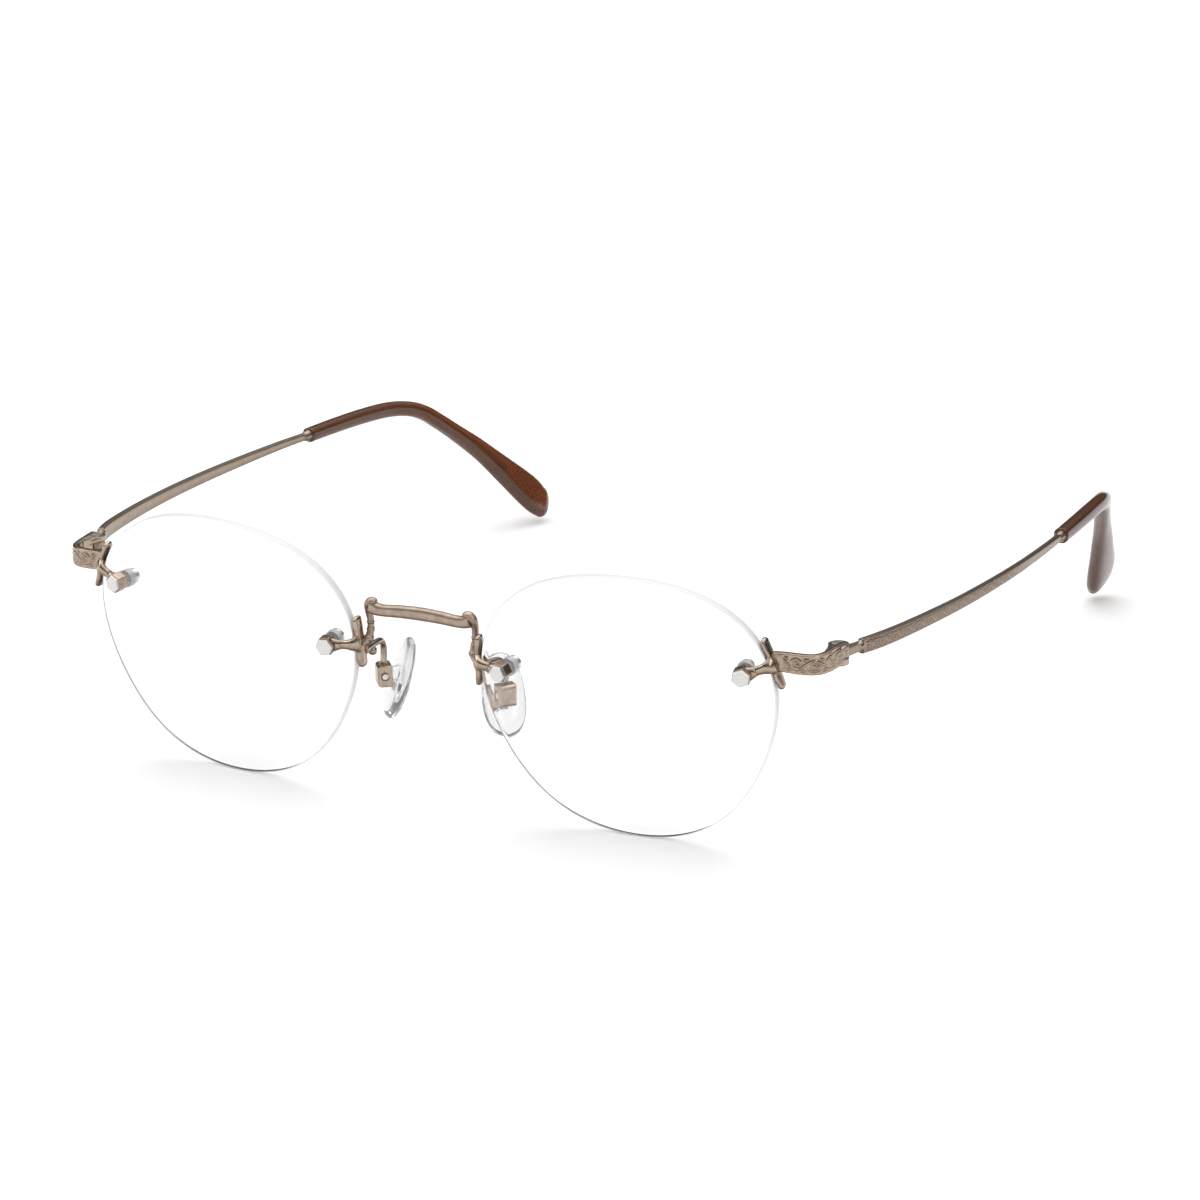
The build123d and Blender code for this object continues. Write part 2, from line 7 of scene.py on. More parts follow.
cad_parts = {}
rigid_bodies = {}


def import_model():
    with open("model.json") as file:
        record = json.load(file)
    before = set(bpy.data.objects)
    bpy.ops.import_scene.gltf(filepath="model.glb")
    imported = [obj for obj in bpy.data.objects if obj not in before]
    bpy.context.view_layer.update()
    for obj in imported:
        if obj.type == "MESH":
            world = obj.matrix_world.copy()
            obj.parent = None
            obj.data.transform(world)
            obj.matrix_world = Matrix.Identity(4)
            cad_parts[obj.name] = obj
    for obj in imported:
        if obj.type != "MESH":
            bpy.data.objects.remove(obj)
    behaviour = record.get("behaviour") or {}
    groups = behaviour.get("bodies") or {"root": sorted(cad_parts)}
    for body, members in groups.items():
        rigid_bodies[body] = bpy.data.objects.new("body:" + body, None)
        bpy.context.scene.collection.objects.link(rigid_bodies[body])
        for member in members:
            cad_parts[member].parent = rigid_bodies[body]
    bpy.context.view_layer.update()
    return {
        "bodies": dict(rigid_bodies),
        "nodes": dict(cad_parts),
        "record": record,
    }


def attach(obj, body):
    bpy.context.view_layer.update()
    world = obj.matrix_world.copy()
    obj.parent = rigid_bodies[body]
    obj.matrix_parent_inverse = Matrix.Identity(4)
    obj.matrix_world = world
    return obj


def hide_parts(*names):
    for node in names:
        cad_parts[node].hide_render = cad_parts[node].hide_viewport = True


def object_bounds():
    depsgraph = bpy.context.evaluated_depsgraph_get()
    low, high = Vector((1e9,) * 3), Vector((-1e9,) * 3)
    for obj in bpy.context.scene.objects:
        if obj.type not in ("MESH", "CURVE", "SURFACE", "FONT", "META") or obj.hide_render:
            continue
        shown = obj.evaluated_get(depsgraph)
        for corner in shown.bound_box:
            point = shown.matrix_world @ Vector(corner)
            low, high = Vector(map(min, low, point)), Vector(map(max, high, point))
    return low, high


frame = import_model()

# The glasses stand with their lenses forward (-Y). Lengths below are in millimetres, and new_mesh()
# turns them into metres. The left half (+X) is made, and the right half mirrors it.
MM = 0.001
SIDES = (("left", 1), ("right", -1))
UP = Vector((0, 0, 1))
SIDEWAYS = Vector((1, 0, 0))
BACKWARD = Vector((0, 1, 0))
joints = {joint["name"]: joint for joint in frame["record"]["behaviour"]["joints"]}
HINGE = Vector(joints["temple_left_hinge"]["pos_m"]) / MM
PAD_PIN = Vector(joints["pad_left_rock"]["pos_m"]) / MM
HINGE_BACK = 12.1
FRONT_Y = HINGE.y - HINGE_BACK      # the lens vertices


def at(x, y, z):
    """A point whose y counts back from the lens vertices."""
    return Vector((x, FRONT_Y + y, z))


FLOOR_PLANE = (SIDEWAYS, BACKWARD, UP, at(0, 0, 0))     # prism()'s directions and origin, seen from above


# ---------------------------------------------------------------- camera, floor and light

CAMERA_AZIMUTH = math.radians(27.5)
CAMERA_ELEVATION = math.radians(18.03)
CAMERA_ROLL = math.radians(0.88)
CAMERA_DISTANCE = 0.8603
CAMERA_LENS = 162.15
CAMERA_TARGET = at(1.56, 56.82, 17.12) * MM
WHITE = (1.0, 1.0, 1.0, 1.0)
SOFTBOXES = (       # (name, place, the place it faces, size, watts), in metres
    ("softbox_top", (-0.1, 0.25, 0.9), (0, 0, 0), (1.1, 1.1), 4.3),
    ("softbox_left", (-0.8, -0.45, 0.55), (0, 0, 0.02), (0.3, 0.8), 2.2),
    ("softbox_right", (0.85, -0.5, 0.5), (0, 0, 0.02), (0.18, 0.6), 1.2),
)
FLOOR_SIZE = 6
FLOOR_DROP = 0.00002
FLOOR_GLOW = 0.13       # keeps the shadows pale
ROOM_GREYS = ((0.0, 0.02), (0.28, 0.07), (0.5, 0.4), (0.75, 1.0))    # (height of the direction, brightness)


def make_camera():
    back = Vector((
        math.sin(CAMERA_AZIMUTH) * math.cos(CAMERA_ELEVATION),
        -math.cos(CAMERA_AZIMUTH) * math.cos(CAMERA_ELEVATION),
        math.sin(CAMERA_ELEVATION),
    ))
    right = UP.cross(back).normalized()
    facing = Matrix((right, back.cross(right), back)).transposed()
    turn = facing @ Matrix.Rotation(CAMERA_ROLL, 3, "Z").inverted()
    camera = bpy.data.objects.new("camera", bpy.data.cameras.new("camera"))
    camera.matrix_world = Matrix.Translation(CAMERA_TARGET + back * CAMERA_DISTANCE) @ turn.to_4x4()
    camera.data.lens = CAMERA_LENS
    camera.data.sensor_width = 36
    camera.data.clip_start = 0.01
    bpy.context.scene.collection.objects.link(camera)
    bpy.context.scene.camera = camera


def make_area_light(name, place, target, size, power):
    light = bpy.data.lights.new(name, "AREA")
    light.shape = "RECTANGLE"
    light.size, light.size_y = size
    light.energy = power
    lamp = bpy.data.objects.new(name, light)
    lamp.location = place
    lamp.rotation_euler = (Vector(target) - Vector(place)).to_track_quat("-Z", "Y").to_euler()
    bpy.context.scene.collection.objects.link(lamp)


def make_world():
    """A dim room: darkest at eye level and brighter overhead, so metal and clear edges get contrast."""
    world = bpy.data.worlds.new("studio")
    world.use_nodes = True
    nodes, links = world.node_tree.nodes, world.node_tree.links
    split = nodes.new("ShaderNodeSeparateXYZ")
    links.new(nodes.new("ShaderNodeTexCoord").outputs["Generated"], split.inputs["Vector"])
    ramp = nodes.new("ShaderNodeValToRGB")
    while len(ramp.color_ramp.elements) < len(ROOM_GREYS):
        ramp.color_ramp.elements.new(0.5)
    for element, (height, grey) in zip(ramp.color_ramp.elements, ROOM_GREYS):
        element.position = height
        element.color = (grey, grey, grey, 1)
    links.new(split.outputs["Z"], ramp.inputs["Fac"])
    links.new(ramp.outputs["Color"], nodes["Background"].inputs["Color"])
    bpy.context.scene.world = world


def make_studio():
    """A white floor in the dim room, with a softbox above and one at each side."""
    make_world()
    for softbox in SOFTBOXES:
        make_area_light(*softbox)
    bpy.ops.mesh.primitive_plane_add(size=FLOOR_SIZE, location=(0, 0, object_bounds()[0][2] - FLOOR_DROP))
    floor = bpy.context.object
    floor.name = "floor"
    floor.data.materials.append(make_floor_material())


def new_material(name):
    material = bpy.data.materials.new(name)
    material.use_nodes = True
    nodes = material.node_tree.nodes
    return material, nodes, material.node_tree.links, nodes["Principled BSDF"]


def make_floor_material():
    material, nodes, links, shader = new_material("white_floor")
    noise = nodes.new("ShaderNodeTexNoise")
    noise.inputs["Scale"].default_value = 40
    ramp = nodes.new("ShaderNodeMapRange")
    ramp.inputs["To Min"].default_value = 0.75
    ramp.inputs["To Max"].default_value = 0.85
    links.new(noise.outputs["Fac"], ramp.inputs["Value"])
    links.new(ramp.outputs["Result"], shader.inputs["Roughness"])
    shader.inputs["Base Color"].default_value = (0.93, 0.93, 0.93, 1)
    shader.inputs["Specular IOR Level"].default_value = 0.1
    shader.inputs["Emission Color"].default_value = WHITE
    shader.inputs["Emission Strength"].default_value = FLOOR_GLOW
    return material


# ---------------------------------------------------------------- materials

def object_coordinates(nodes):
    return nodes.new("ShaderNodeTexCoord").outputs["Object"]


def noise_texture(nodes, links, scale, detail=4, stretch=(1, 1, 1)):
    """Noise in the object's own coordinates; scale counts features per metre."""
    mapping = nodes.new("ShaderNodeMapping")
    mapping.inputs["Scale"].default_value = stretch
    links.new(object_coordinates(nodes), mapping.inputs["Vector"])
    noise = nodes.new("ShaderNodeTexNoise")
    noise.inputs["Scale"].default_value = scale
    noise.inputs["Detail"].default_value = detail
    links.new(mapping.outputs["Vector"], noise.inputs["Vector"])
    return noise.outputs["Fac"]


def ramp_colors(nodes, links, factor, stops):
    ramp = nodes.new("ShaderNodeValToRGB")
    while len(ramp.color_ramp.elements) < len(stops):
        ramp.color_ramp.elements.new(0.5)
    for element, (place, color) in zip(ramp.color_ramp.elements, stops):
        element.position = place
        element.color = (*color, 1)
    links.new(factor, ramp.inputs["Fac"])
    return ramp.outputs["Color"]


def map_range(nodes, links, value, low, high):
    node = nodes.new("ShaderNodeMapRange")
    node.inputs["To Min"].default_value = low
    node.inputs["To Max"].default_value = high
    links.new(value, node.inputs["Value"])
    return node.outputs["Result"]


def add_bump(nodes, links, shader, height, strength, distance):
    bump = nodes.new("ShaderNodeBump")
    bump.inputs["Strength"].default_value = strength
    bump.inputs["Distance"].default_value = distance
    links.new(height, bump.inputs["Height"])
    links.new(bump.outputs["Normal"], shader.inputs["Normal"])


BRONZE_TONES = ((0.25, (0.34, 0.264, 0.203)), (0.5, (0.435, 0.344, 0.268)), (0.8, (0.545, 0.446, 0.357)))
TEMPLE_TONES = ((0.25, (0.3, 0.236, 0.183)), (0.5, (0.345, 0.275, 0.216)), (0.8, (0.39, 0.316, 0.251)))
# The colour of darkened places: painted shade in the hollows, and patina with painted shade in the engraved
# grooves.
SHADE_AND_PATINA_COLOUR = (0.1, 0.066, 0.045, 1)
PAINTED_UNDERSIDE_SHADE = ((0.3, (0.34, 0.3, 0.27)), (0.52, (1.0, 1.0, 1.0)))     # (1 + normal z) / 2, tint: painted shade that darkens the faces turned down


def make_bronze(name, tones=BRONZE_TONES, grain_stretch=(1, 1, 1), grain=0.3, roughness=(0.17, 0.3)):
    """Antique bronze plating: warm taupe metal with a fine grain, with patina and painted shade in its
    engraved cuts, painted shade in its hollows and painted shade on the faces turned down.
    """
    material, nodes, links, shader = new_material(name)
    patina = noise_texture(nodes, links, 900, 6)
    # Painted shade: the colour is multiplied darker on faces whose normals turn down.
    facing = nodes.new("ShaderNodeSeparateXYZ")
    links.new(nodes.new("ShaderNodeTexCoord").outputs["Normal"], facing.inputs["Vector"])
    height = nodes.new("ShaderNodeMath")
    height.operation = "MULTIPLY_ADD"
    height.inputs[1].default_value = 0.5
    height.inputs[2].default_value = 0.5
    links.new(facing.outputs["Z"], height.inputs[0])
    shade = nodes.new("ShaderNodeMix")
    shade.data_type = "RGBA"
    shade.blend_type = "MULTIPLY"
    shade.inputs["Factor"].default_value = 1.0
    links.new(ramp_colors(nodes, links, patina, tones), shade.inputs["A"])
    links.new(ramp_colors(nodes, links, height.outputs["Value"], PAINTED_UNDERSIDE_SHADE), shade.inputs["B"])
    color = shade.outputs["Result"]
    # Painted shade in the hollows, and patina with painted shade in the engraved grooves: a vertex attribute
    # mixes the colour towards the dark colour.
    shade_and_patina = nodes.new("ShaderNodeAttribute")
    shade_and_patina.attribute_name = "shade_and_patina"
    mix = nodes.new("ShaderNodeMix")
    mix.data_type = "RGBA"
    links.new(shade_and_patina.outputs["Fac"], mix.inputs["Factor"])
    links.new(color, mix.inputs["A"])
    mix.inputs["B"].default_value = SHADE_AND_PATINA_COLOUR
    links.new(mix.outputs["Result"], shader.inputs["Base Color"])
    shader.inputs["Metallic"].default_value = 1.0
    fine = noise_texture(nodes, links, 5200, 5, grain_stretch)
    links.new(map_range(nodes, links, fine, *roughness), shader.inputs["Roughness"])
    add_bump(nodes, links, shader, fine, grain, 0.00003)
    return material


def make_steel():
    """Polished silver-coloured screws, with faint turning marks."""
    material, nodes, links, shader = new_material("polished_steel")
    marks = noise_texture(nodes, links, 3000, 3, (1, 0.2, 1))
    links.new(ramp_colors(nodes, links, marks, [(0.3, (0.62, 0.612, 0.595)), (0.7, (0.7, 0.692, 0.675))]),
              shader.inputs["Base Color"])
    shader.inputs["Metallic"].default_value = 1.0
    links.new(map_range(nodes, links, marks, 0.28, 0.4), shader.inputs["Roughness"])
    add_bump(nodes, links, shader, marks, 0.05, 0.00001)
    return material


def make_clear(name, color, roughness, wear_scale, ior=1.49, through=1.0):
    """Clear plastic, with roughness that varies as handling leaves it; the share that isn't
    through is milky."""
    material, nodes, links, shader = new_material(name)
    wear = noise_texture(nodes, links, wear_scale, 3)
    links.new(map_range(nodes, links, wear, *roughness), shader.inputs["Roughness"])
    links.new(ramp_colors(nodes, links, wear, [(0.3, color), (0.7, [min(1, c * 1.02) for c in color])]),
              shader.inputs["Base Color"])
    shader.inputs["Transmission Weight"].default_value = through
    shader.inputs["IOR"].default_value = ior
    return material


def make_acetate():
    """Brown translucent acetate, darker where it is thick, with faint cloudy streaks."""
    material, nodes, links, shader = new_material("brown_acetate")
    streaks = noise_texture(nodes, links, 90, 2, (1, 0.35, 0.6))
    links.new(ramp_colors(nodes, links, streaks, [(0.3, (0.24, 0.1, 0.045)), (0.55, (0.3, 0.13, 0.056)),
                                                 (0.8, (0.38, 0.175, 0.076))]), shader.inputs["Base Color"])
    shader.inputs["Transmission Weight"].default_value = 0.72
    shader.inputs["IOR"].default_value = 1.49
    shader.inputs["Specular IOR Level"].default_value = 0.3
    fine = noise_texture(nodes, links, 700, 3)
    links.new(map_range(nodes, links, fine, 0.1, 0.18), shader.inputs["Roughness"])
    add_bump(nodes, links, shader, fine, 0.02, 0.00001)
    absorb = nodes.new("ShaderNodeVolumeAbsorption")
    absorb.inputs["Color"].default_value = (0.66, 0.26, 0.08, 1)
    absorb.inputs["Density"].default_value = 720
    links.new(absorb.outputs["Volume"], nodes["Material Output"].inputs["Volume"])
    return material


BRONZE = make_bronze("antique_bronze")
TEMPLE_BRONZE = make_bronze("temple_bronze", TEMPLE_TONES, roughness=(0.24, 0.36))
MILLED_BRONZE = make_bronze("milled_bronze", grain_stretch=(0.25, 1, 1), grain=0.6, roughness=(0.3, 0.5))
STEEL = make_steel()
LENS_FACE = make_clear("lens_face", (0.995, 0.995, 0.995), (0.0, 0.012), 60)
LENS_EDGE = make_clear("lens_ground_edge", (0.92, 0.93, 0.93), (0.26, 0.4), 2500, through=0.15)
CLEAR_PLASTIC = make_clear("clear_plastic", (0.95, 0.95, 0.945), (0.1, 0.2), 700, 1.49, 0.35)
PAD_PLASTIC = make_clear("pad_plastic", (0.9, 0.9, 0.905), (0.03, 0.11), 350, 1.43, 0.86)
ACETATE = make_acetate()


# ---------------------------------------------------------------- mesh tools

def smooth_rows(rows, steps):
    """Rows of numbers joined by a Catmull-Rom curve, with that many steps from row to row."""
    rows = [Vector(row) for row in rows]
    line = []
    for i in range(len(rows) - 1):
        a, b = rows[max(i - 1, 0)], rows[i]
        c, d = rows[i + 1], rows[min(i + 2, len(rows) - 1)]
        for step in range(steps):
            t = step / steps
            point = (b * 2 + (c - a) * t + (a * 2 - b * 5 + c * 4 - d) * t * t
                     + (b * 3 - a - c * 3 + d) * t**3)
            line.append(point / 2)
    return line + [rows[-1]]


def signed_power(value, power):
    return math.copysign(abs(value) ** power, value)


def stitch(rings):
    """Quads between neighbouring rings of vertices, with the two ends closed."""
    count = len(rings[0])
    faces = []
    for i in range(len(rings) - 1):
        for j in range(count):
            k = (j + 1) % count
            faces.append((i * count + j, i * count + k, (i + 1) * count + k, (i + 1) * count + j))
    faces.append(tuple(reversed(range(count))))
    faces.append(tuple((len(rings) - 1) * count + j for j in range(count)))
    return faces


def as_skin(rings):
    """(vertices, faces) of a closed shell through rings of points."""
    return [v for ring in rings for v in ring], stitch(rings)


def tube(rows, side, steps=6, segments=24, power=2.0, cap=0.0, end_cap=None, cap_rings=4):
    """A solid through rows (point, half size towards side, half size across, twist about the line if
    there is one), as (vertices, faces). power 2 gives an ellipse and more gives a rounded rectangle;
    cap rounds the ends over that length, and end_cap the far end alone."""
    line = smooth_rows([(*row[0], *row[1:]) for row in rows], steps)
    caps = (cap, cap if end_cap is None else end_cap)
    rings = []
    for i, row in enumerate(line):
        point = Vector(row[:3])
        along = Vector(line[min(i + 1, len(line) - 1)][:3]) - Vector(line[max(i - 1, 0)][:3])
        along.normalize()
        across = (side - along * side.dot(along)).normalized()
        if len(row) > 5:
            across.rotate(Quaternion(along, row[5]))
        rounds = [0.0]
        if caps[0] and i == 0:
            rounds = [-math.pi / 2 * (1 - k / cap_rings) for k in range(1, cap_rings + 1)]
        if caps[1] and i == len(line) - 1:
            rounds = [math.pi / 2 * k / cap_rings for k in range(cap_rings)]
        for turn in rounds:
            reach = caps[0] if turn < 0 else caps[1]
            ring = []
            for j in range(segments):
                angle = math.tau * j / segments
                ring.append(
                    point + along * reach * math.sin(turn)
                    + across * row[3] * math.cos(turn) * signed_power(math.cos(angle), 2 / power)
                    + along.cross(across) * row[4] * math.cos(turn) * signed_power(math.sin(angle), 2 / power)
                )
            rings.append(ring)
    return as_skin(rings)


def ball(centre, sizes, segments=24, rings=14):
    """An ellipsoid with half sizes along x, y and z, as (vertices, faces)."""
    layers = []
    for i in range(1, rings):
        tilt = math.pi * i / rings
        layers.append([
            centre + Vector((sizes[0] * math.sin(tilt) * math.cos(math.tau * j / segments),
                             sizes[1] * math.sin(tilt) * math.sin(math.tau * j / segments),
                             -sizes[2] * math.cos(tilt)))
            for j in range(segments)
        ])
    return as_skin(layers)


def circle(x, y, radius, count=40):
    return [(x + radius * math.cos(math.tau * k / count), y + radius * math.sin(math.tau * k / count))
            for k in range(count)]


def prism(outline, x_axis, y_axis, z_axis, origin, low, high):
    """A flat outline of (x, y) points raised from low to high along z_axis, as (vertices, faces)."""
    rings = [[origin + x_axis * x + y_axis * y + z_axis * z for x, y in outline] for z in (low, high)]
    return as_skin(rings)


def join(shells):
    vertices, faces = [], []
    for shell_vertices, shell_faces in shells:
        faces += [tuple(len(vertices) + i for i in face) for face in shell_faces]
        vertices += shell_vertices
    return vertices, faces


def new_mesh(name, vertices, faces, sign=1):
    """A mesh in metres from points in millimetres, mirrored where sign is -1."""
    mesh = bpy.data.meshes.new(name)
    points = [(v[0] * sign * MM, v[1] * MM, v[2] * MM) for v in vertices]
    mesh.from_pydata(points, [], faces if sign > 0 else [tuple(reversed(face)) for face in faces])
    mesh.update()
    return mesh


def new_object(name, mesh):
    piece = bpy.data.objects.new(name, mesh)
    bpy.context.scene.collection.objects.link(piece)
    return piece


def apply_modifiers(piece):
    """The piece's mesh becomes what its modifiers make of it."""
    graph = bpy.context.evaluated_depsgraph_get()
    mesh = bpy.data.meshes.new_from_object(piece.evaluated_get(graph))
    piece.modifiers.clear()
    piece.data = mesh


def melt(shells, voxel, rounds):
    """The shells joined into one skin, as a casting is, with its corners rounded. It stays in millimetres."""
    vertices, faces = join(shells)
    mesh = bpy.data.meshes.new("melt")
    mesh.from_pydata(vertices, [], faces)
    piece = new_object("melt", mesh)
    remesh = piece.modifiers.new("skin", "REMESH")
    remesh.mode = "VOXEL"
    remesh.voxel_size = voxel
    soften = piece.modifiers.new("soften", "SMOOTH")
    soften.factor = 0.5
    soften.iterations = rounds
    apply_modifiers(piece)
    skin = [v.co.copy() for v in piece.data.vertices], [tuple(p.vertices) for p in piece.data.polygons]
    bpy.data.objects.remove(piece)
    return skin


def finish_piece(piece, body, nodes, materials):
    for material in materials:
        piece.data.materials.append(material)
    for polygon in piece.data.polygons:
        polygon.use_smooth = True
    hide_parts(*nodes)
    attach(piece, body)


def painted_hollow_shade(skin, scale):
    """How far each vertex of a skin lies in a hollow, from 0 to 1, from its neighbours' mean place; it is
    used as painted shade that darkens the hollows.
    """
    vertices, faces = skin
    sums = [Vector() for _ in vertices]
    counts = [0] * len(vertices)
    normals = [Vector() for _ in vertices]
    for face in faces:
        normal = (vertices[face[1]] - vertices[face[0]]).cross(vertices[face[-1]] - vertices[face[0]])
        for i, corner in enumerate(face):
            normals[corner] += normal
            sums[corner] += vertices[face[i - 1]]
            counts[corner] += 1
    depths = [(total / count - vertex).dot(normal.normalized()) if count else 0.0
              for vertex, total, count, normal in zip(vertices, sums, counts, normals)]
    return [min(1.0, max(0.0, depth * scale)) for depth in depths]


def build_pair(name, skin, body, materials, shade_and_patina=None, sort=None):
    """The left piece and its mirror image, which replace the CAD nodes of that name."""
    for side, sign in SIDES:
        body_name = body if body in frame["bodies"] else f"{body}_{side}"
        mesh = new_mesh(f"{name}_{side}_look", *skin, sign)
        # The vertex attribute of painted shade in hollows, and of patina with painted shade in engraved
        # grooves.
        if shade_and_patina:
            attribute = mesh.attributes.new("shade_and_patina", "FLOAT", "POINT")
            attribute.data.foreach_set("value", shade_and_patina)
        piece = new_object(f"{name}_{side}_look", mesh)
        finish_piece(piece, body_name, [f"{name}_{side}"], materials)
        if sort:
            for polygon in piece.data.polygons:
                polygon.material_index = sort(polygon)


# ---------------------------------------------------------------- lenses

LENS_CENTRE = at(34.64, 0, 21.48)
TILT = math.radians(6.44)       # the lens leans back at its foot
WRAP = math.radians(4.26)       # and turns back at its outer side
BASE_RADIUS = 120.0
LENS_THICKNESS = 1.4
LENS_BEVEL = 0.2
LENS_RINGS = 24
LENS_SEGMENTS = 240
EDGE_STEPS = 6
LENS_U = Vector((math.cos(WRAP), math.sin(WRAP) * math.cos(TILT), math.sin(WRAP) * math.sin(TILT)))
LENS_W = Vector((0, -math.sin(TILT), math.cos(TILT)))
LENS_BACK = LENS_W.cross(LENS_U)
SPHERE_CENTRE = LENS_CENTRE + LENS_BACK * BASE_RADIUS
# (the drilled hole's place on the lens, the direction of the shoe from the lens centre)
NASAL = ((-19.58, 3.5), math.radians(170.9))
TEMPORAL = ((18.86, 7.2), math.radians(20.7))


def outline_radius(angle):
    """The lens outline about its centre, the same formula as the CAD model's."""
    radius = 22.44 + 1.136 * math.cos(2 * angle) + 0.929 * math.sin(3 * angle)
    return radius - 0.113 * math.cos(3 * angle) - 0.2 * math.cos(4 * angle) + 0.167 * math.sin(5 * angle)


def outline_point(angle, grow=0.0):
    radius = outline_radius(angle) + grow
    return radius * math.cos(angle), radius * math.sin(angle)


def sag(u, w, radius=BASE_RADIUS):
    return radius - math.sqrt(radius**2 - u**2 - w**2)


def lens_point(u, w, back):
    return LENS_CENTRE + LENS_U * u + LENS_W * w + LENS_BACK * back


def hole_frame(hole, shoe_angle):
    """The centre of a lens hole at the front surface, the direction to the shoe, across and forward."""
    centre = lens_point(*hole, sag(*hole))
    forward = (centre - SPHERE_CENTRE).normalized()
    edge = outline_point(shoe_angle)
    reach = lens_point(*edge, sag(*edge)) - centre
    along = (reach - forward * reach.dot(forward)).normalized()
    return centre, along, forward.cross(along), forward


def make_lenses():
    """Two dished faces and a ground edge with small bevels."""
    rings = []
    levels = [(i / LENS_RINGS, 0) for i in range(1, LENS_RINGS)] + [(1, 0)]
    back_levels = [(share, 1) for share, _ in reversed(levels)]
    for share, back in levels + back_levels:
        ring = []
        for j in range(LENS_SEGMENTS):
            angle = -math.tau * j / LENS_SEGMENTS
            radius = (outline_radius(angle) - LENS_BEVEL) * share
            u, w = radius * math.cos(angle), radius * math.sin(angle)
            depth = sag(u, w) if not back else LENS_THICKNESS + sag(u, w, BASE_RADIUS - LENS_THICKNESS)
            ring.append(lens_point(u, w, depth))
        rings.append(ring)
    edge_rings = []
    for step in range(EDGE_STEPS + 1):
        ring = []
        for j in range(LENS_SEGMENTS):
            angle = -math.tau * j / LENS_SEGMENTS
            u, w = outline_point(angle)
            front = sag(u, w) + LENS_BEVEL
            back = LENS_THICKNESS + sag(u, w, BASE_RADIUS - LENS_THICKNESS) - LENS_BEVEL
            ring.append(lens_point(u, w, front + (back - front) * step / EDGE_STEPS))
        edge_rings.append(ring)
    middle = len(levels)
    rings = rings[:middle] + edge_rings + rings[middle:]
    skin = as_skin(rings)
    edge_low = (middle - 1) * LENS_SEGMENTS
    edge_high = (middle + len(edge_rings)) * LENS_SEGMENTS

    def is_edge(polygon):
        on_edge = all(edge_low <= v < edge_high + LENS_SEGMENTS for v in polygon.vertices)
        return 1 if on_edge and len(polygon.vertices) == 4 else 0

    build_pair("lens", skin, "front", [LENS_FACE, LENS_EDGE], sort=is_edge)


# ---------------------------------------------------------------- lens mounts

FIT_GAP = 0.05
SHOE_HALF_THICKNESS = 0.54
SHOE_HALF_DEPTH = 1.08
SHOE_HALF_SPAN = math.radians(8.2)
STRAP_HALF_HEIGHT = 0.74
SHOE_ROWS = (       # (turn along the shoe, lift off the lens, size)
    (-1, 0.3, 0.9), (-0.7, 0.08, 1.0), (-0.35, 0, 0.94), (0, 0, 1.05),
    (0.35, 0, 0.94), (0.7, 0.08, 1.0), (1, 0.3, 0.9),
)
BOSS_RADIUS = 1.55
BOSS_HEIGHT = 1.7
CAST_VOXEL = 0.07
CAST_ROUNDS = 3
FINE_VOXEL = 0.06
FINE_ROUNDS = 4
# how strongly the painted shade in the hollows grows with their depth
PAINTED_HOLLOW_SHADE_SCALE = 270.0


def make_bracket(name, hole, shoe_angle):
    """A shoe on the lens edge, a dished strap and the six-sided boss that the screw goes through."""
    centre, along, across, forward = hole_frame(hole, shoe_angle)
    shoe_rows = []
    for turn, lift, size in SHOE_ROWS:
        u, w = outline_point(shoe_angle + turn * SHOE_HALF_SPAN, FIT_GAP + SHOE_HALF_THICKNESS + lift)
        depth = sag(*outline_point(shoe_angle)) + LENS_THICKNESS / 2
        shoe_rows.append((lens_point(u, w, depth), SHOE_HALF_DEPTH * size, SHOE_HALF_THICKNESS * size))
    shoe = tube(shoe_rows, LENS_BACK, power=2.3, cap=0.6)
    u, w = outline_point(shoe_angle, FIT_GAP + SHOE_HALF_THICKNESS)
    root = lens_point(u, w, sag(u, w) + 0.1)
    reach = (root - centre).dot(along)
    strap_rows = [      # from the shoe to the boss
        (root + forward * 0.1, 1.5, 0.7),
        (centre + along * (reach * 0.86) + forward * 0.5, 1.05, 0.62),
        (centre + along * (reach * 0.66) + forward * 0.55, 0.76, 0.54),
        (centre + along * (reach * 0.45) + forward * 0.56, STRAP_HALF_HEIGHT, 0.5),
        (centre + along * 1.7 + forward * 0.72, 0.86, 0.58),
        (centre + along * 0.5 + forward * 0.8, 1.25, 0.7),
    ]
    strap = tube(strap_rows, across, power=2.3)
    boss = prism(circle(0, 0, BOSS_RADIUS, 6), along, across, forward, centre, FIT_GAP, FIT_GAP + BOSS_HEIGHT)
    skin = melt([shoe, strap, boss], CAST_VOXEL, CAST_ROUNDS)
    # Painted shade: the casting's hollows are darkened through its vertex attribute.
    build_pair(name, skin, "front", [BRONZE], painted_hollow_shade(skin, PAINTED_HOLLOW_SHADE_SCALE))


# ---------------------------------------------------------------- bridge

BRIDGE_Y = 1.3
BRIDGE_HALF_DEPTH = 0.72
BAR_ROWS = (        # (x, z, half height) from the middle out
    (0, 31.15, 1.0), (3.5, 31.05, 0.95), (6.2, 30.85, 0.9), (7.6, 30.95, 0.98), (8.5, 31.3, 1.12),
)
LEG_ROWS = (        # (x, y, z, half depth, half width) from the knob down to the nasal bracket
    (7.8, 1.3, 31.5, 0.6, 0.7), (8.35, 1.35, 31.85, 0.78, 0.8), (8.95, 1.5, 31.35, 0.72, 0.7),
    (9.1, 1.8, 30.2, 0.58, 0.56), (8.98, 2.05, 29.0, 0.54, 0.54), (8.95, 2.05, 27.9, 0.56, 0.54),
    (8.9, 1.75, 26.9, 0.6, 0.6), (9.1, 1.35, 25.9, 0.68, 0.66), (9.75, 1.05, 25.2, 0.7, 0.66),
)
LEG_BEADS = (       # (x, y, z, half sizes along x, y and z)
    (8.25, 1.3, 32.1, (0.92, 0.8, 0.6)), (8.97, 2.05, 28.5, (0.63, 0.63, 0.36)),
    (8.93, 1.95, 27.4, (0.68, 0.68, 0.36)), (9.0, 1.45, 26.1, (0.84, 0.78, 0.62)),
)


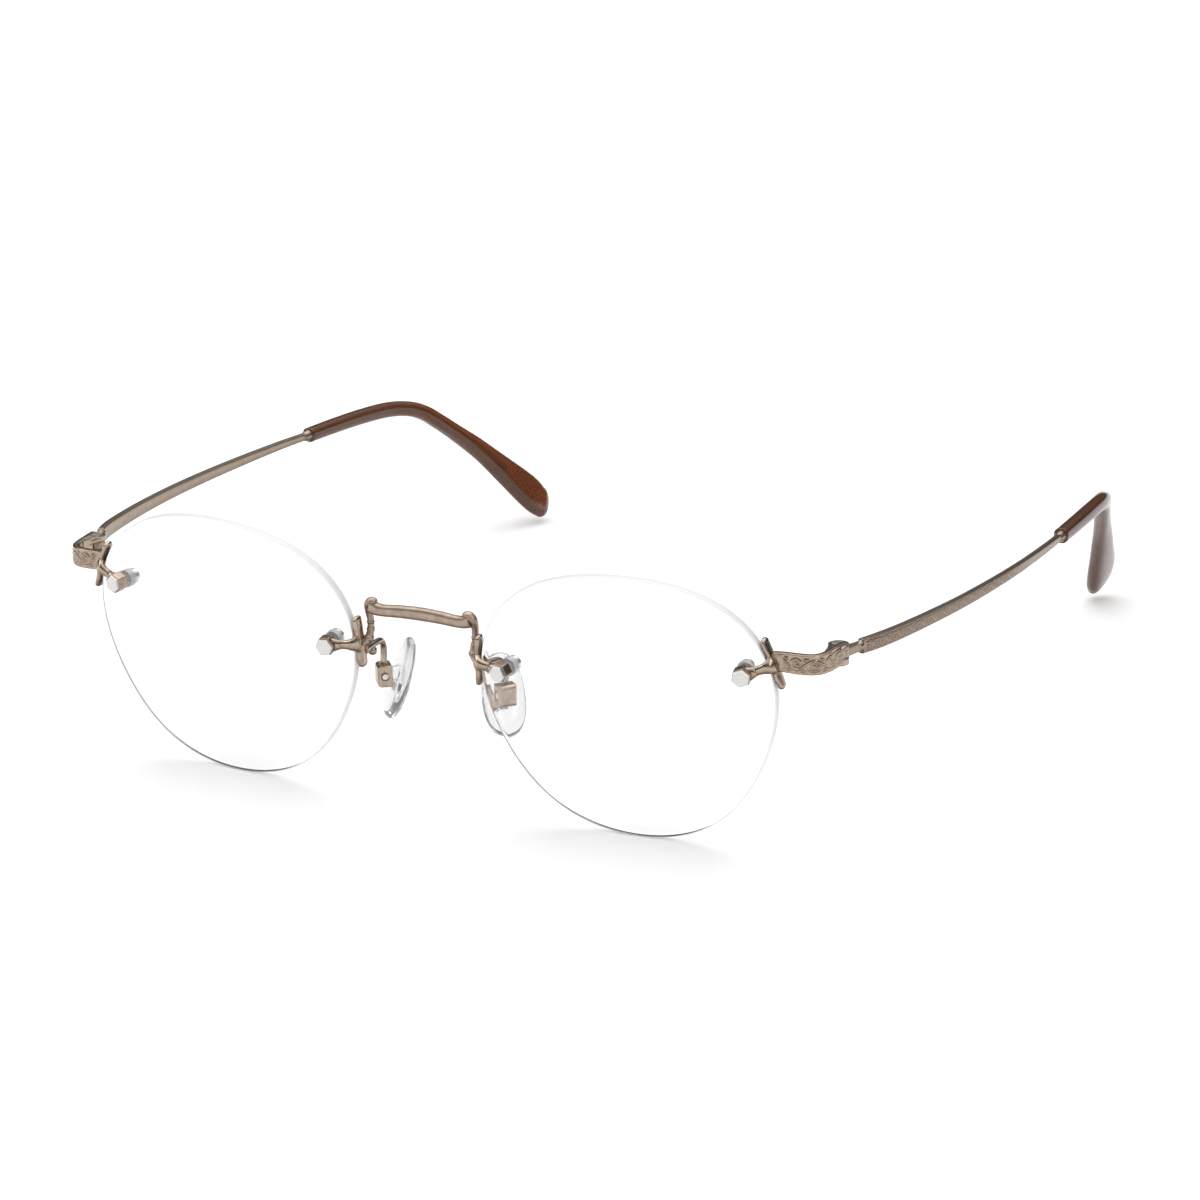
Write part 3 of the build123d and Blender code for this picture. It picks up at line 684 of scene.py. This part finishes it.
def make_bridge():
    """A forged bar that flares into a knob at each end and turns down into cranked legs."""
    bar = [(-x, z, half) for x, z, half in reversed(BAR_ROWS[1:])] + list(BAR_ROWS)
    bar_rows = [(at(x, BRIDGE_Y, z), BRIDGE_HALF_DEPTH, half) for x, z, half in bar]
    shells = [tube(bar_rows, -BACKWARD, power=3.0)]
    for sign in (1, -1):
        leg_rows = [(at(sign * x, y, z), a, b) for x, y, z, a, b in LEG_ROWS]
        shells.append(tube(leg_rows, -BACKWARD))
        shells += [ball(at(sign * x, y, z), sizes) for x, y, z, sizes in LEG_BEADS]
    skin = melt(shells, CAST_VOXEL, CAST_ROUNDS)
    mesh = new_mesh("bridge_bar_look", *skin)
    # Painted shade: the bridge's hollows are darkened through its vertex attribute.
    mesh.attributes.new("shade_and_patina", "FLOAT", "POINT").data.foreach_set("value", painted_hollow_shade(skin, PAINTED_HOLLOW_SHADE_SCALE))
    finish_piece(new_object("bridge_bar_look", mesh), "front", ["bridge_bar"], [MILLED_BRONZE])


# ---------------------------------------------------------------- engraved bars

VINE_SPACING = 0.04     # between neighbouring points of the vine
VINE_SWING = 0.24       # of the band's height
CURL_POINTS = 70
CURL_REACH = 0.3        # of the band's height
LEAF_POINTS = 12
RELIEF_HEIGHT = 0.055
CUT_DEPTH = 0.085
LINE_WIDTH = 0.1
BORDER_CUT = 0.55       # the outer face's borders are this dark
BORDER_FADE = 0.16      # share of the half height over which the relief dies out at a border
FIELD_SINK = 0.03       # the engraved field lies this far below the border
CROWN = 0.1
COARSE = 8              # plain stretches have stations this many times further apart


def scroll_pattern(length, height, wave):
    """Points along a waving vine with a curl in each bend, in a band of that length and height."""
    points = []
    swing = height * VINE_SWING
    steps = int(length / VINE_SPACING)
    for i in range(steps + 1):
        s = length * i / steps
        points.append((s, swing * math.sin(math.tau * s / wave)))
    bend = 0
    while (bend + 0.5) * wave / 2 < length:
        side = 1 if bend % 2 == 0 else -1
        middle = (bend + 0.5) * wave / 2
        reach = height * CURL_REACH
        for i in range(CURL_POINTS):
            turn = i / (CURL_POINTS - 1)
            radius = reach * (1 - 0.85 * turn)
            angle = math.pi * (0.5 + 2.6 * turn)
            points.append((middle + wave * 0.03 + radius * math.cos(angle) * 1.15,
                           -side * (swing * 0.35 + height * 0.02) + side * radius * math.sin(angle) * 0.95))
        for lean in (-1, 1):
            for i in range(LEAF_POINTS):
                t = i / (LEAF_POINTS - 1)
                leaf = height * 0.3 - 0.34 * t * (1 - t)
                points.append((middle + lean * (wave * 0.17 + 0.28 * t), side * leaf))
        bend += 1
    return points


def relief_lookup(points):
    tree = kdtree.KDTree(len(points))
    for i, (s, t) in enumerate(points):
        tree.insert((s, t, 0), i)
    tree.balance()
    return tree


def relief_at(tree, s, t):
    """(height, groove darkening: patina with painted shade) of the engraving at a place: a raised line
    between two cut ones.
    """
    distance = tree.find((s, t, 0))[2]
    ridge = math.exp(-(distance / LINE_WIDTH) ** 2)
    groove = math.exp(-((distance - 2.1 * LINE_WIDTH) / LINE_WIDTH) ** 2)
    return RELIEF_HEIGHT * ridge - CUT_DEPTH * groove, groove


def plain_sides(half_x, half_z, bevel):
    """A bar's outline from one edge of its outer face round the back to the other edge, as (x, z)."""
    upper = [
        (half_x - CROWN - bevel * 0.45, half_z - bevel * 0.15), (half_x - CROWN - bevel, half_z),
        (0.0, half_z + 0.02), (-half_x + bevel, half_z), (-half_x + bevel * 0.3, half_z - bevel * 0.3),
        (-half_x, half_z - bevel),
    ]
    return upper + [(-half_x - 0.02, 0.0)] + [(x, -z) for x, z in reversed(upper)]


def engraved_bar(rows, spacing, columns, tree=None, engraved=(0.0, 0.0), fade=1.0, bevel=0.22, depth=1.0):
    """A bar through rows (point, half thickness, half height) whose outer face carries the relief
    between two distances along it, with dark borders. depth scales the relief. Returns
    (vertices, faces) and each vertex's darkening: patina with painted shade in the grooves, and the dark
    borders."""
    line = smooth_rows([(*point, a, b) for point, a, b in rows], 24)
    travelled = [0.0]
    for a, b in zip(line, line[1:]):
        travelled.append(travelled[-1] + (Vector(b[:3]) - Vector(a[:3])).length)
    stations, s = [], 0.0
    while s < travelled[-1]:
        stations.append(s)
        near = tree is not None and s < engraved[1] + fade
        s += spacing if near else spacing * COARSE
    stations.append(travelled[-1])
    rings, cuts = [], []
    index = 0
    for s in stations:
        while index < len(travelled) - 2 and travelled[index + 1] < s:
            index += 1
        share = (s - travelled[index]) / max(travelled[index + 1] - travelled[index], 1e-9)
        row = line[index].lerp(line[index + 1], min(share, 1.0))
        along = (Vector(line[index + 1][:3]) - Vector(line[index][:3])).normalized()
        outward = along.cross(UP).normalized()
        upward = outward.cross(along)
        point, half_x, half_z = Vector(row[:3]), row[3], row[4]
        ring = []
        strength = 0.0
        if tree is not None:
            strength = min(1.0, max(0.0, (s - engraved[0]) / 0.4 + 1), max(0.0, (engraved[1] - s) / fade + 1))
            strength = depth * max(0.0, min(strength, 1.0))
        for j in range(columns + 1):
            t = -1 + 2 * j / columns
            z = t * (half_z - bevel * 0.6)
            edge = min(1.0, (1 - abs(t)) / BORDER_FADE)
            height, shade_and_patina = relief_at(tree, s, z) if strength > 0 else (0.0, 0.0)
            height = height * strength * edge - (FIELD_SINK * edge * strength)
            crown = CROWN * (1 - t * t)
            ring.append(point + outward * (half_x - CROWN + crown + height) + upward * z)
            cuts.append(shade_and_patina * strength * edge)
        for x, z in plain_sides(half_x, half_z, bevel):
            ring.append(point + outward * x + upward * z)
            cuts.append(BORDER_CUT if x > 0.3 * half_x else 0.0)
        rings.append(ring)
    return as_skin(rings), cuts


# ---------------------------------------------------------------- endpieces and hinges

PLATE_HALF_THICKNESS = 0.6
PLATE_ROWS = (      # (x, y, z, half height) from the temporal bracket back to the hinge
    (57.1, 4.2, 30.97, 1.38), (58.9, 4.5, 30.93, 1.48), (60.6, 4.65, 30.88, 1.52),
    (62.2, 4.95, 30.84, 1.53), (63.4, 5.55, 30.82, 1.53), (64.15, 6.6, 30.82, 1.54),
    (64.45, 8.2, 30.84, 1.56), (64.65, 10.4, 30.86, 1.58), (64.9, 12.85, 30.86, 1.56),
)
LEAVES = ((29.1, 30.09), (31.41, 32.2))     # the heights of the hinge's lower and upper leaf
LEAF_RADIUS = 1.58
LEAF_OUTLINE = ((HINGE.x - 1.5, HINGE_BACK), (63.9, 8.0), (64.7, 8.0), (64.95, HINGE_BACK))
LEAF_ROOT = ((63.7, 8.0), (64.6, 8.0), (64.7, 10.2), (63.4, 10.2))


def make_endpieces():
    """An engraved plate that turns back from the lens and ends in the two leaves of the hinge."""
    rows = [(at(x, y, z), PLATE_HALF_THICKNESS, half) for x, y, z, half in PLATE_ROWS]
    vine = relief_lookup(scroll_pattern(length=14.0, height=3.0, wave=5.0))
    plate, cuts = engraved_bar(rows, 0.06, 52, vine, engraved=(2.0, 12.4), fade=0.5, depth=0.42)
    shells = []
    for low, high in LEAVES:
        shells.append(prism(circle(HINGE.x, HINGE_BACK, LEAF_RADIUS), *FLOOR_PLANE, low, high))
        shells.append(prism(LEAF_OUTLINE, *FLOOR_PLANE, low, high))
    shells.append(prism(LEAF_ROOT, *FLOOR_PLANE, 29.4, 32.3))
    shells.append(ball(at(64.3, 11.5, 31.95), (1.45, 2.5, 0.4)))
    shells.append(ball(at(64.55, 10.2, 32.05), (0.8, 3.2, 0.42)))
    leaves = melt(shells, FINE_VOXEL, FINE_ROUNDS)
    skin = join([plate, leaves])
    build_pair("endpiece", skin, "front", [BRONZE], cuts + [0.0] * len(leaves[0]))


# ---------------------------------------------------------------- temples and tips

TEMPLE_ROWS = (     # (x, y, z, half thickness, half height) from the hinge to the collar
    (65.8, 16.3, 30.76, 0.6, 1.12), (66.8, 20.0, 30.65, 0.6, 1.14), (67.8, 25.7, 30.46, 0.58, 1.1),
    (68.8, 34.0, 30.2, 0.56, 1.04), (69.55, 43.6, 29.85, 0.55, 0.97), (69.88, 54.2, 29.45, 0.54, 0.9),
    (69.8, 65.8, 29.0, 0.53, 0.8), (69.25, 77.5, 28.6, 0.52, 0.68), (68.55, 85.8, 28.27, 0.52, 0.6),
)
TIP_ROWS = (        # (x, y, z, half thickness, half width) from the sleeve's mouth to the paddle's end
    (68.5, 85.9, 28.25, 1.18, 1.22), (67.85, 93.0, 28.05, 1.2, 1.25), (66.9, 101.5, 27.68, 1.22, 1.28),
    (65.8, 108.6, 27.1, 1.24, 1.3), (64.5, 113.3, 26.15, 1.26, 1.32), (63.3, 116.4, 24.75, 1.28, 1.34),
    (62.2, 118.9, 22.9, 1.28, 1.36), (60.6, 122.8, 19.75, 1.3, 1.45), (58.7, 127.6, 15.7, 1.32, 1.9),
    (56.8, 132.2, 11.2, 1.36, 2.65), (55.1, 136.2, 7.2, 1.38, 3.35), (54.1, 138.5, 4.9, 1.34, 3.5),
    (53.45, 139.95, 3.45, 1.2, 3.15),
)
PADDLE_TWIST = math.radians(17.0)
TWIST_START_Z = 24.0        # the twist begins at this height and is complete TWIST_RISE below it
TWIST_RISE = 8.0
TONGUE = (30.15, 31.35)     # heights
TONGUE_RADIUS = 1.45
NECK_OUTLINE = ((HINGE.x - 0.6, HINGE_BACK), (HINGE.x + 1.15, HINGE_BACK), (66.35, 16.9), (65.15, 16.9))
COLLAR_ROWS = ((1.7, 0.62, 0.66), (0.9, 0.82, 0.86), (0, 0.95, 0.98))   # (before the sleeve, half sizes)
WIRE_RADIUS = 0.5
WIRE_ROWS = 10      # the core wire ends at this row of the tip


def make_temples():
    """The engraved bar with its hinge tongue in front, and the collar and core wire behind."""
    rows = [(at(x, y, z), a, b) for x, y, z, a, b in TEMPLE_ROWS]
    vine = relief_lookup(scroll_pattern(length=60.0, height=2.1, wave=3.3))
    bar, cuts = engraved_bar(rows, 0.085, 26, vine, engraved=(0.6, 44.0), fade=12.0, depth=0.45)
    tongue = melt([
        prism(circle(HINGE.x, HINGE_BACK, TONGUE_RADIUS), *FLOOR_PLANE, *TONGUE),
        prism(NECK_OUTLINE, *FLOOR_PLANE, *TONGUE),
        ball(at(65.75, 16.3, 30.76), (0.66, 0.9, 0.95)),
    ], FINE_VOXEL, FINE_ROUNDS)
    mouth, second = Vector(TIP_ROWS[0][:3]), Vector(TIP_ROWS[1][:3])
    behind = (second - mouth).normalized()
    collar_rows = [(at(*mouth) - behind * before, a, b) for before, a, b in COLLAR_ROWS]
    collar = tube(collar_rows, SIDEWAYS, cap=0.1)
    wire_rows = [(at(*row[:3]), WIRE_RADIUS, WIRE_RADIUS) for row in TIP_ROWS[:WIRE_ROWS]]
    wire = tube(wire_rows, SIDEWAYS, segments=16, cap=0.4)
    rest = join([tongue, collar, wire])
    build_pair("temple", join([bar, rest]), "temple", [TEMPLE_BRONZE], cuts + [0.0] * len(rest[0]))


def make_temple_tips():
    """A sleeve about the core wire that bends down and twists into a paddle with a round end."""
    rows = []
    for x, y, z, half_thickness, half_width in TIP_ROWS:
        share = min(1.0, max(0.0, (TWIST_START_Z - z) / TWIST_RISE))
        rows.append((at(x, y, z), half_thickness, half_width, PADDLE_TWIST * share))
    tip = tube(rows, SIDEWAYS, steps=8, segments=40, power=2.5, cap=0.35, end_cap=2.1, cap_rings=8)
    build_pair("temple_tip", tip, "temple", [ACETATE])


# ---------------------------------------------------------------- nose pads

ARM_RADIUS = 0.52
ARM_ROOT = (9.8, 1.6, 24.0)
ARM_ROUTE = ((10.15, 5.2, 23.98), (10.35, 7.1, 23.72), (10.55, 8.3, 22.8), (10.65, 8.65, 21.4))
CLIP_TOP = PAD_PIN.z + 1.7


def make_pad_arms():
    """A wire that curls from the solder boss behind the bracket down into the clip."""
    rows = [(at(*ARM_ROOT), 0.66, 0.66), (at(10.0, 3.4, 24.0), 0.54, 0.54)]
    rows += [(at(*place), ARM_RADIUS, ARM_RADIUS) for place in ARM_ROUTE]
    rows += [(at(10.72, 8.65, CLIP_TOP + 0.5), 0.54, 0.54), (at(10.75, 8.65, CLIP_TOP - 0.15), 0.72, 0.72)]
    solder_boss = ball(at(10.0, 4.1, 23.15), (0.75, 0.7, 0.75))
    skin = melt([tube(rows, SIDEWAYS), solder_boss], FINE_VOXEL, FINE_ROUNDS)
    build_pair("pad_arm", skin, "front", [BRONZE])


PAD_CENTRE = at(8.95, 10.7, 16.85)
PAD_HALF_LENGTH = 6.5
PAD_HALF_WIDTH = 3.7
PAD_HALF_THICKNESS = 1.1
PAD_BACK_FLATNESS = 0.9         # the back bulges this much less than the bearing face
PAD_LAYERS = 22
PAD_SEGMENTS = 64
PAD_BOW = 0.012
PAD_VOXEL = 0.11
PAD_LEAN = math.radians(18.7)
PAD_SPLAY = math.radians(47.0)
CLIP_SPLAY = math.radians(40.0)
PAD_ACROSS = Vector((math.sin(PAD_SPLAY), math.cos(PAD_SPLAY), 0))
BOX_ACROSS = Vector((math.sin(CLIP_SPLAY), math.cos(CLIP_SPLAY), 0))
BOX_OUTWARD = Vector((math.cos(CLIP_SPLAY), -math.sin(CLIP_SPLAY), 0))
PAD_OUTWARD = UP.cross(PAD_ACROSS) * -math.cos(PAD_LEAN) + UP * math.sin(PAD_LEAN)
PAD_ALONG = PAD_OUTWARD.cross(PAD_ACROSS)


def make_nose_pads():
    """A clear oval with a domed bearing face and a flatter back, with the stem that enters the clip."""
    rings = []
    for i in range(1, PAD_LAYERS * 2):
        tilt = math.pi * i / (PAD_LAYERS * 2)
        spread = math.sin(tilt) ** 0.62
        height = -math.cos(tilt)
        height = signed_power(height, 0.9) * PAD_HALF_THICKNESS * (1.0 if height < 0 else PAD_BACK_FLATNESS)
        ring = []
        for j in range(PAD_SEGMENTS):
            angle = math.tau * j / PAD_SEGMENTS
            fuller_below = 0.96 - 0.08 * math.sin(angle)
            x = PAD_HALF_WIDTH * spread * signed_power(math.cos(angle), 0.85) * fuller_below
            y = PAD_HALF_LENGTH * spread * signed_power(math.sin(angle), 0.88)
            bow = PAD_BOW * (x * x + y * y * 0.4)
            ring.append(PAD_CENTRE + PAD_ACROSS * x + PAD_ALONG * y + PAD_OUTWARD * (height + bow))
        rings.append(ring)
    pad = as_skin(rings)
    stem_rows = [(PAD_PIN - BOX_OUTWARD * 2.4, 1.25, 1.3), (PAD_PIN - BOX_OUTWARD * 1.7, 1.0, 1.05),
                 (PAD_PIN - BOX_OUTWARD * 0.75, 0.85, 0.95)]
    stem = tube(stem_rows, BOX_ACROSS, power=3.5)
    build_pair("nose_pad", melt([pad, stem], PAD_VOXEL, FINE_ROUNDS), "pad", [PAD_PLASTIC])


CORE_HALF = 0.62
CORE_DROP = 1.5
PIN_RADIUS = 0.5
PIN_REACH = 1.42


def make_pad_cores():
    """The small metal plate moulded into each pad, and the pin that the pad rocks on."""
    square = [(x * CORE_HALF, y * CORE_HALF) for x, y in ((-1, -1), (1, -1), (1, 1), (-1, 1))]
    slab = prism(square, PAD_ACROSS, PAD_ALONG, PAD_OUTWARD, PAD_CENTRE - PAD_ALONG * CORE_DROP, -0.2, 0.25)
    pin_ends = [PAD_PIN + BOX_ACROSS * reach for reach in (-PIN_REACH, 0, PIN_REACH)]
    pin_rows = [(end, PIN_RADIUS, PIN_RADIUS) for end in pin_ends]
    pin = tube(pin_rows, UP, cap=0.06)
    build_pair("pad_core", join([slab, pin]), "pad", [STEEL])


# ---------------------------------------------------------------- CAD nodes that stay

BROKEN_EDGE = 0.06
SHARP_ANGLE = math.radians(35)
CLIP_VOXEL = 0.055
CLIP_ROUNDS = 40
KEPT = {
    "nasal_lens_screw": STEEL, "temporal_lens_screw": STEEL,
    "nasal_lens_nut": STEEL, "temporal_lens_nut": STEEL,
    "hinge_screw": STEEL, "nasal_lens_bush": CLEAR_PLASTIC, "temporal_lens_bush": CLEAR_PLASTIC,
    "nasal_lens_washer": CLEAR_PLASTIC, "temporal_lens_washer": CLEAR_PLASTIC, "pad_box": BRONZE,
}


def dress_kept_nodes():
    """Small turned and bent pieces keep their CAD shape, with their sharp edges broken."""
    for name, material in KEPT.items():
        for side, _ in SIDES:
            piece = frame["nodes"][f"{name}_{side}"]
            piece.data.materials.clear()
            piece.data.materials.append(material)
            bevel = piece.modifiers.new("edges", "BEVEL")
            bevel.width = BROKEN_EDGE * MM
            bevel.segments = 2
            bevel.limit_method = "ANGLE"
            bevel.angle_limit = SHARP_ANGLE
            if name == "pad_box":
                round_casting(piece)


def round_casting(piece):
    """The bent sheet of a pad clip has soft corners all round."""
    remesh = piece.modifiers.new("skin", "REMESH")
    remesh.mode = "VOXEL"
    remesh.voxel_size = CLIP_VOXEL * MM
    soften = piece.modifiers.new("soften", "SMOOTH")
    soften.factor = 0.5
    soften.iterations = CLIP_ROUNDS


make_camera()
make_studio()
make_lenses()
make_bracket("nasal_bracket", *NASAL)
make_bracket("temporal_bracket", *TEMPORAL)
make_bridge()
make_endpieces()
make_temples()
make_temple_tips()
make_pad_arms()
make_nose_pads()
make_pad_cores()
dress_kept_nodes()
bpy.context.scene.view_settings.view_transform = "Standard"
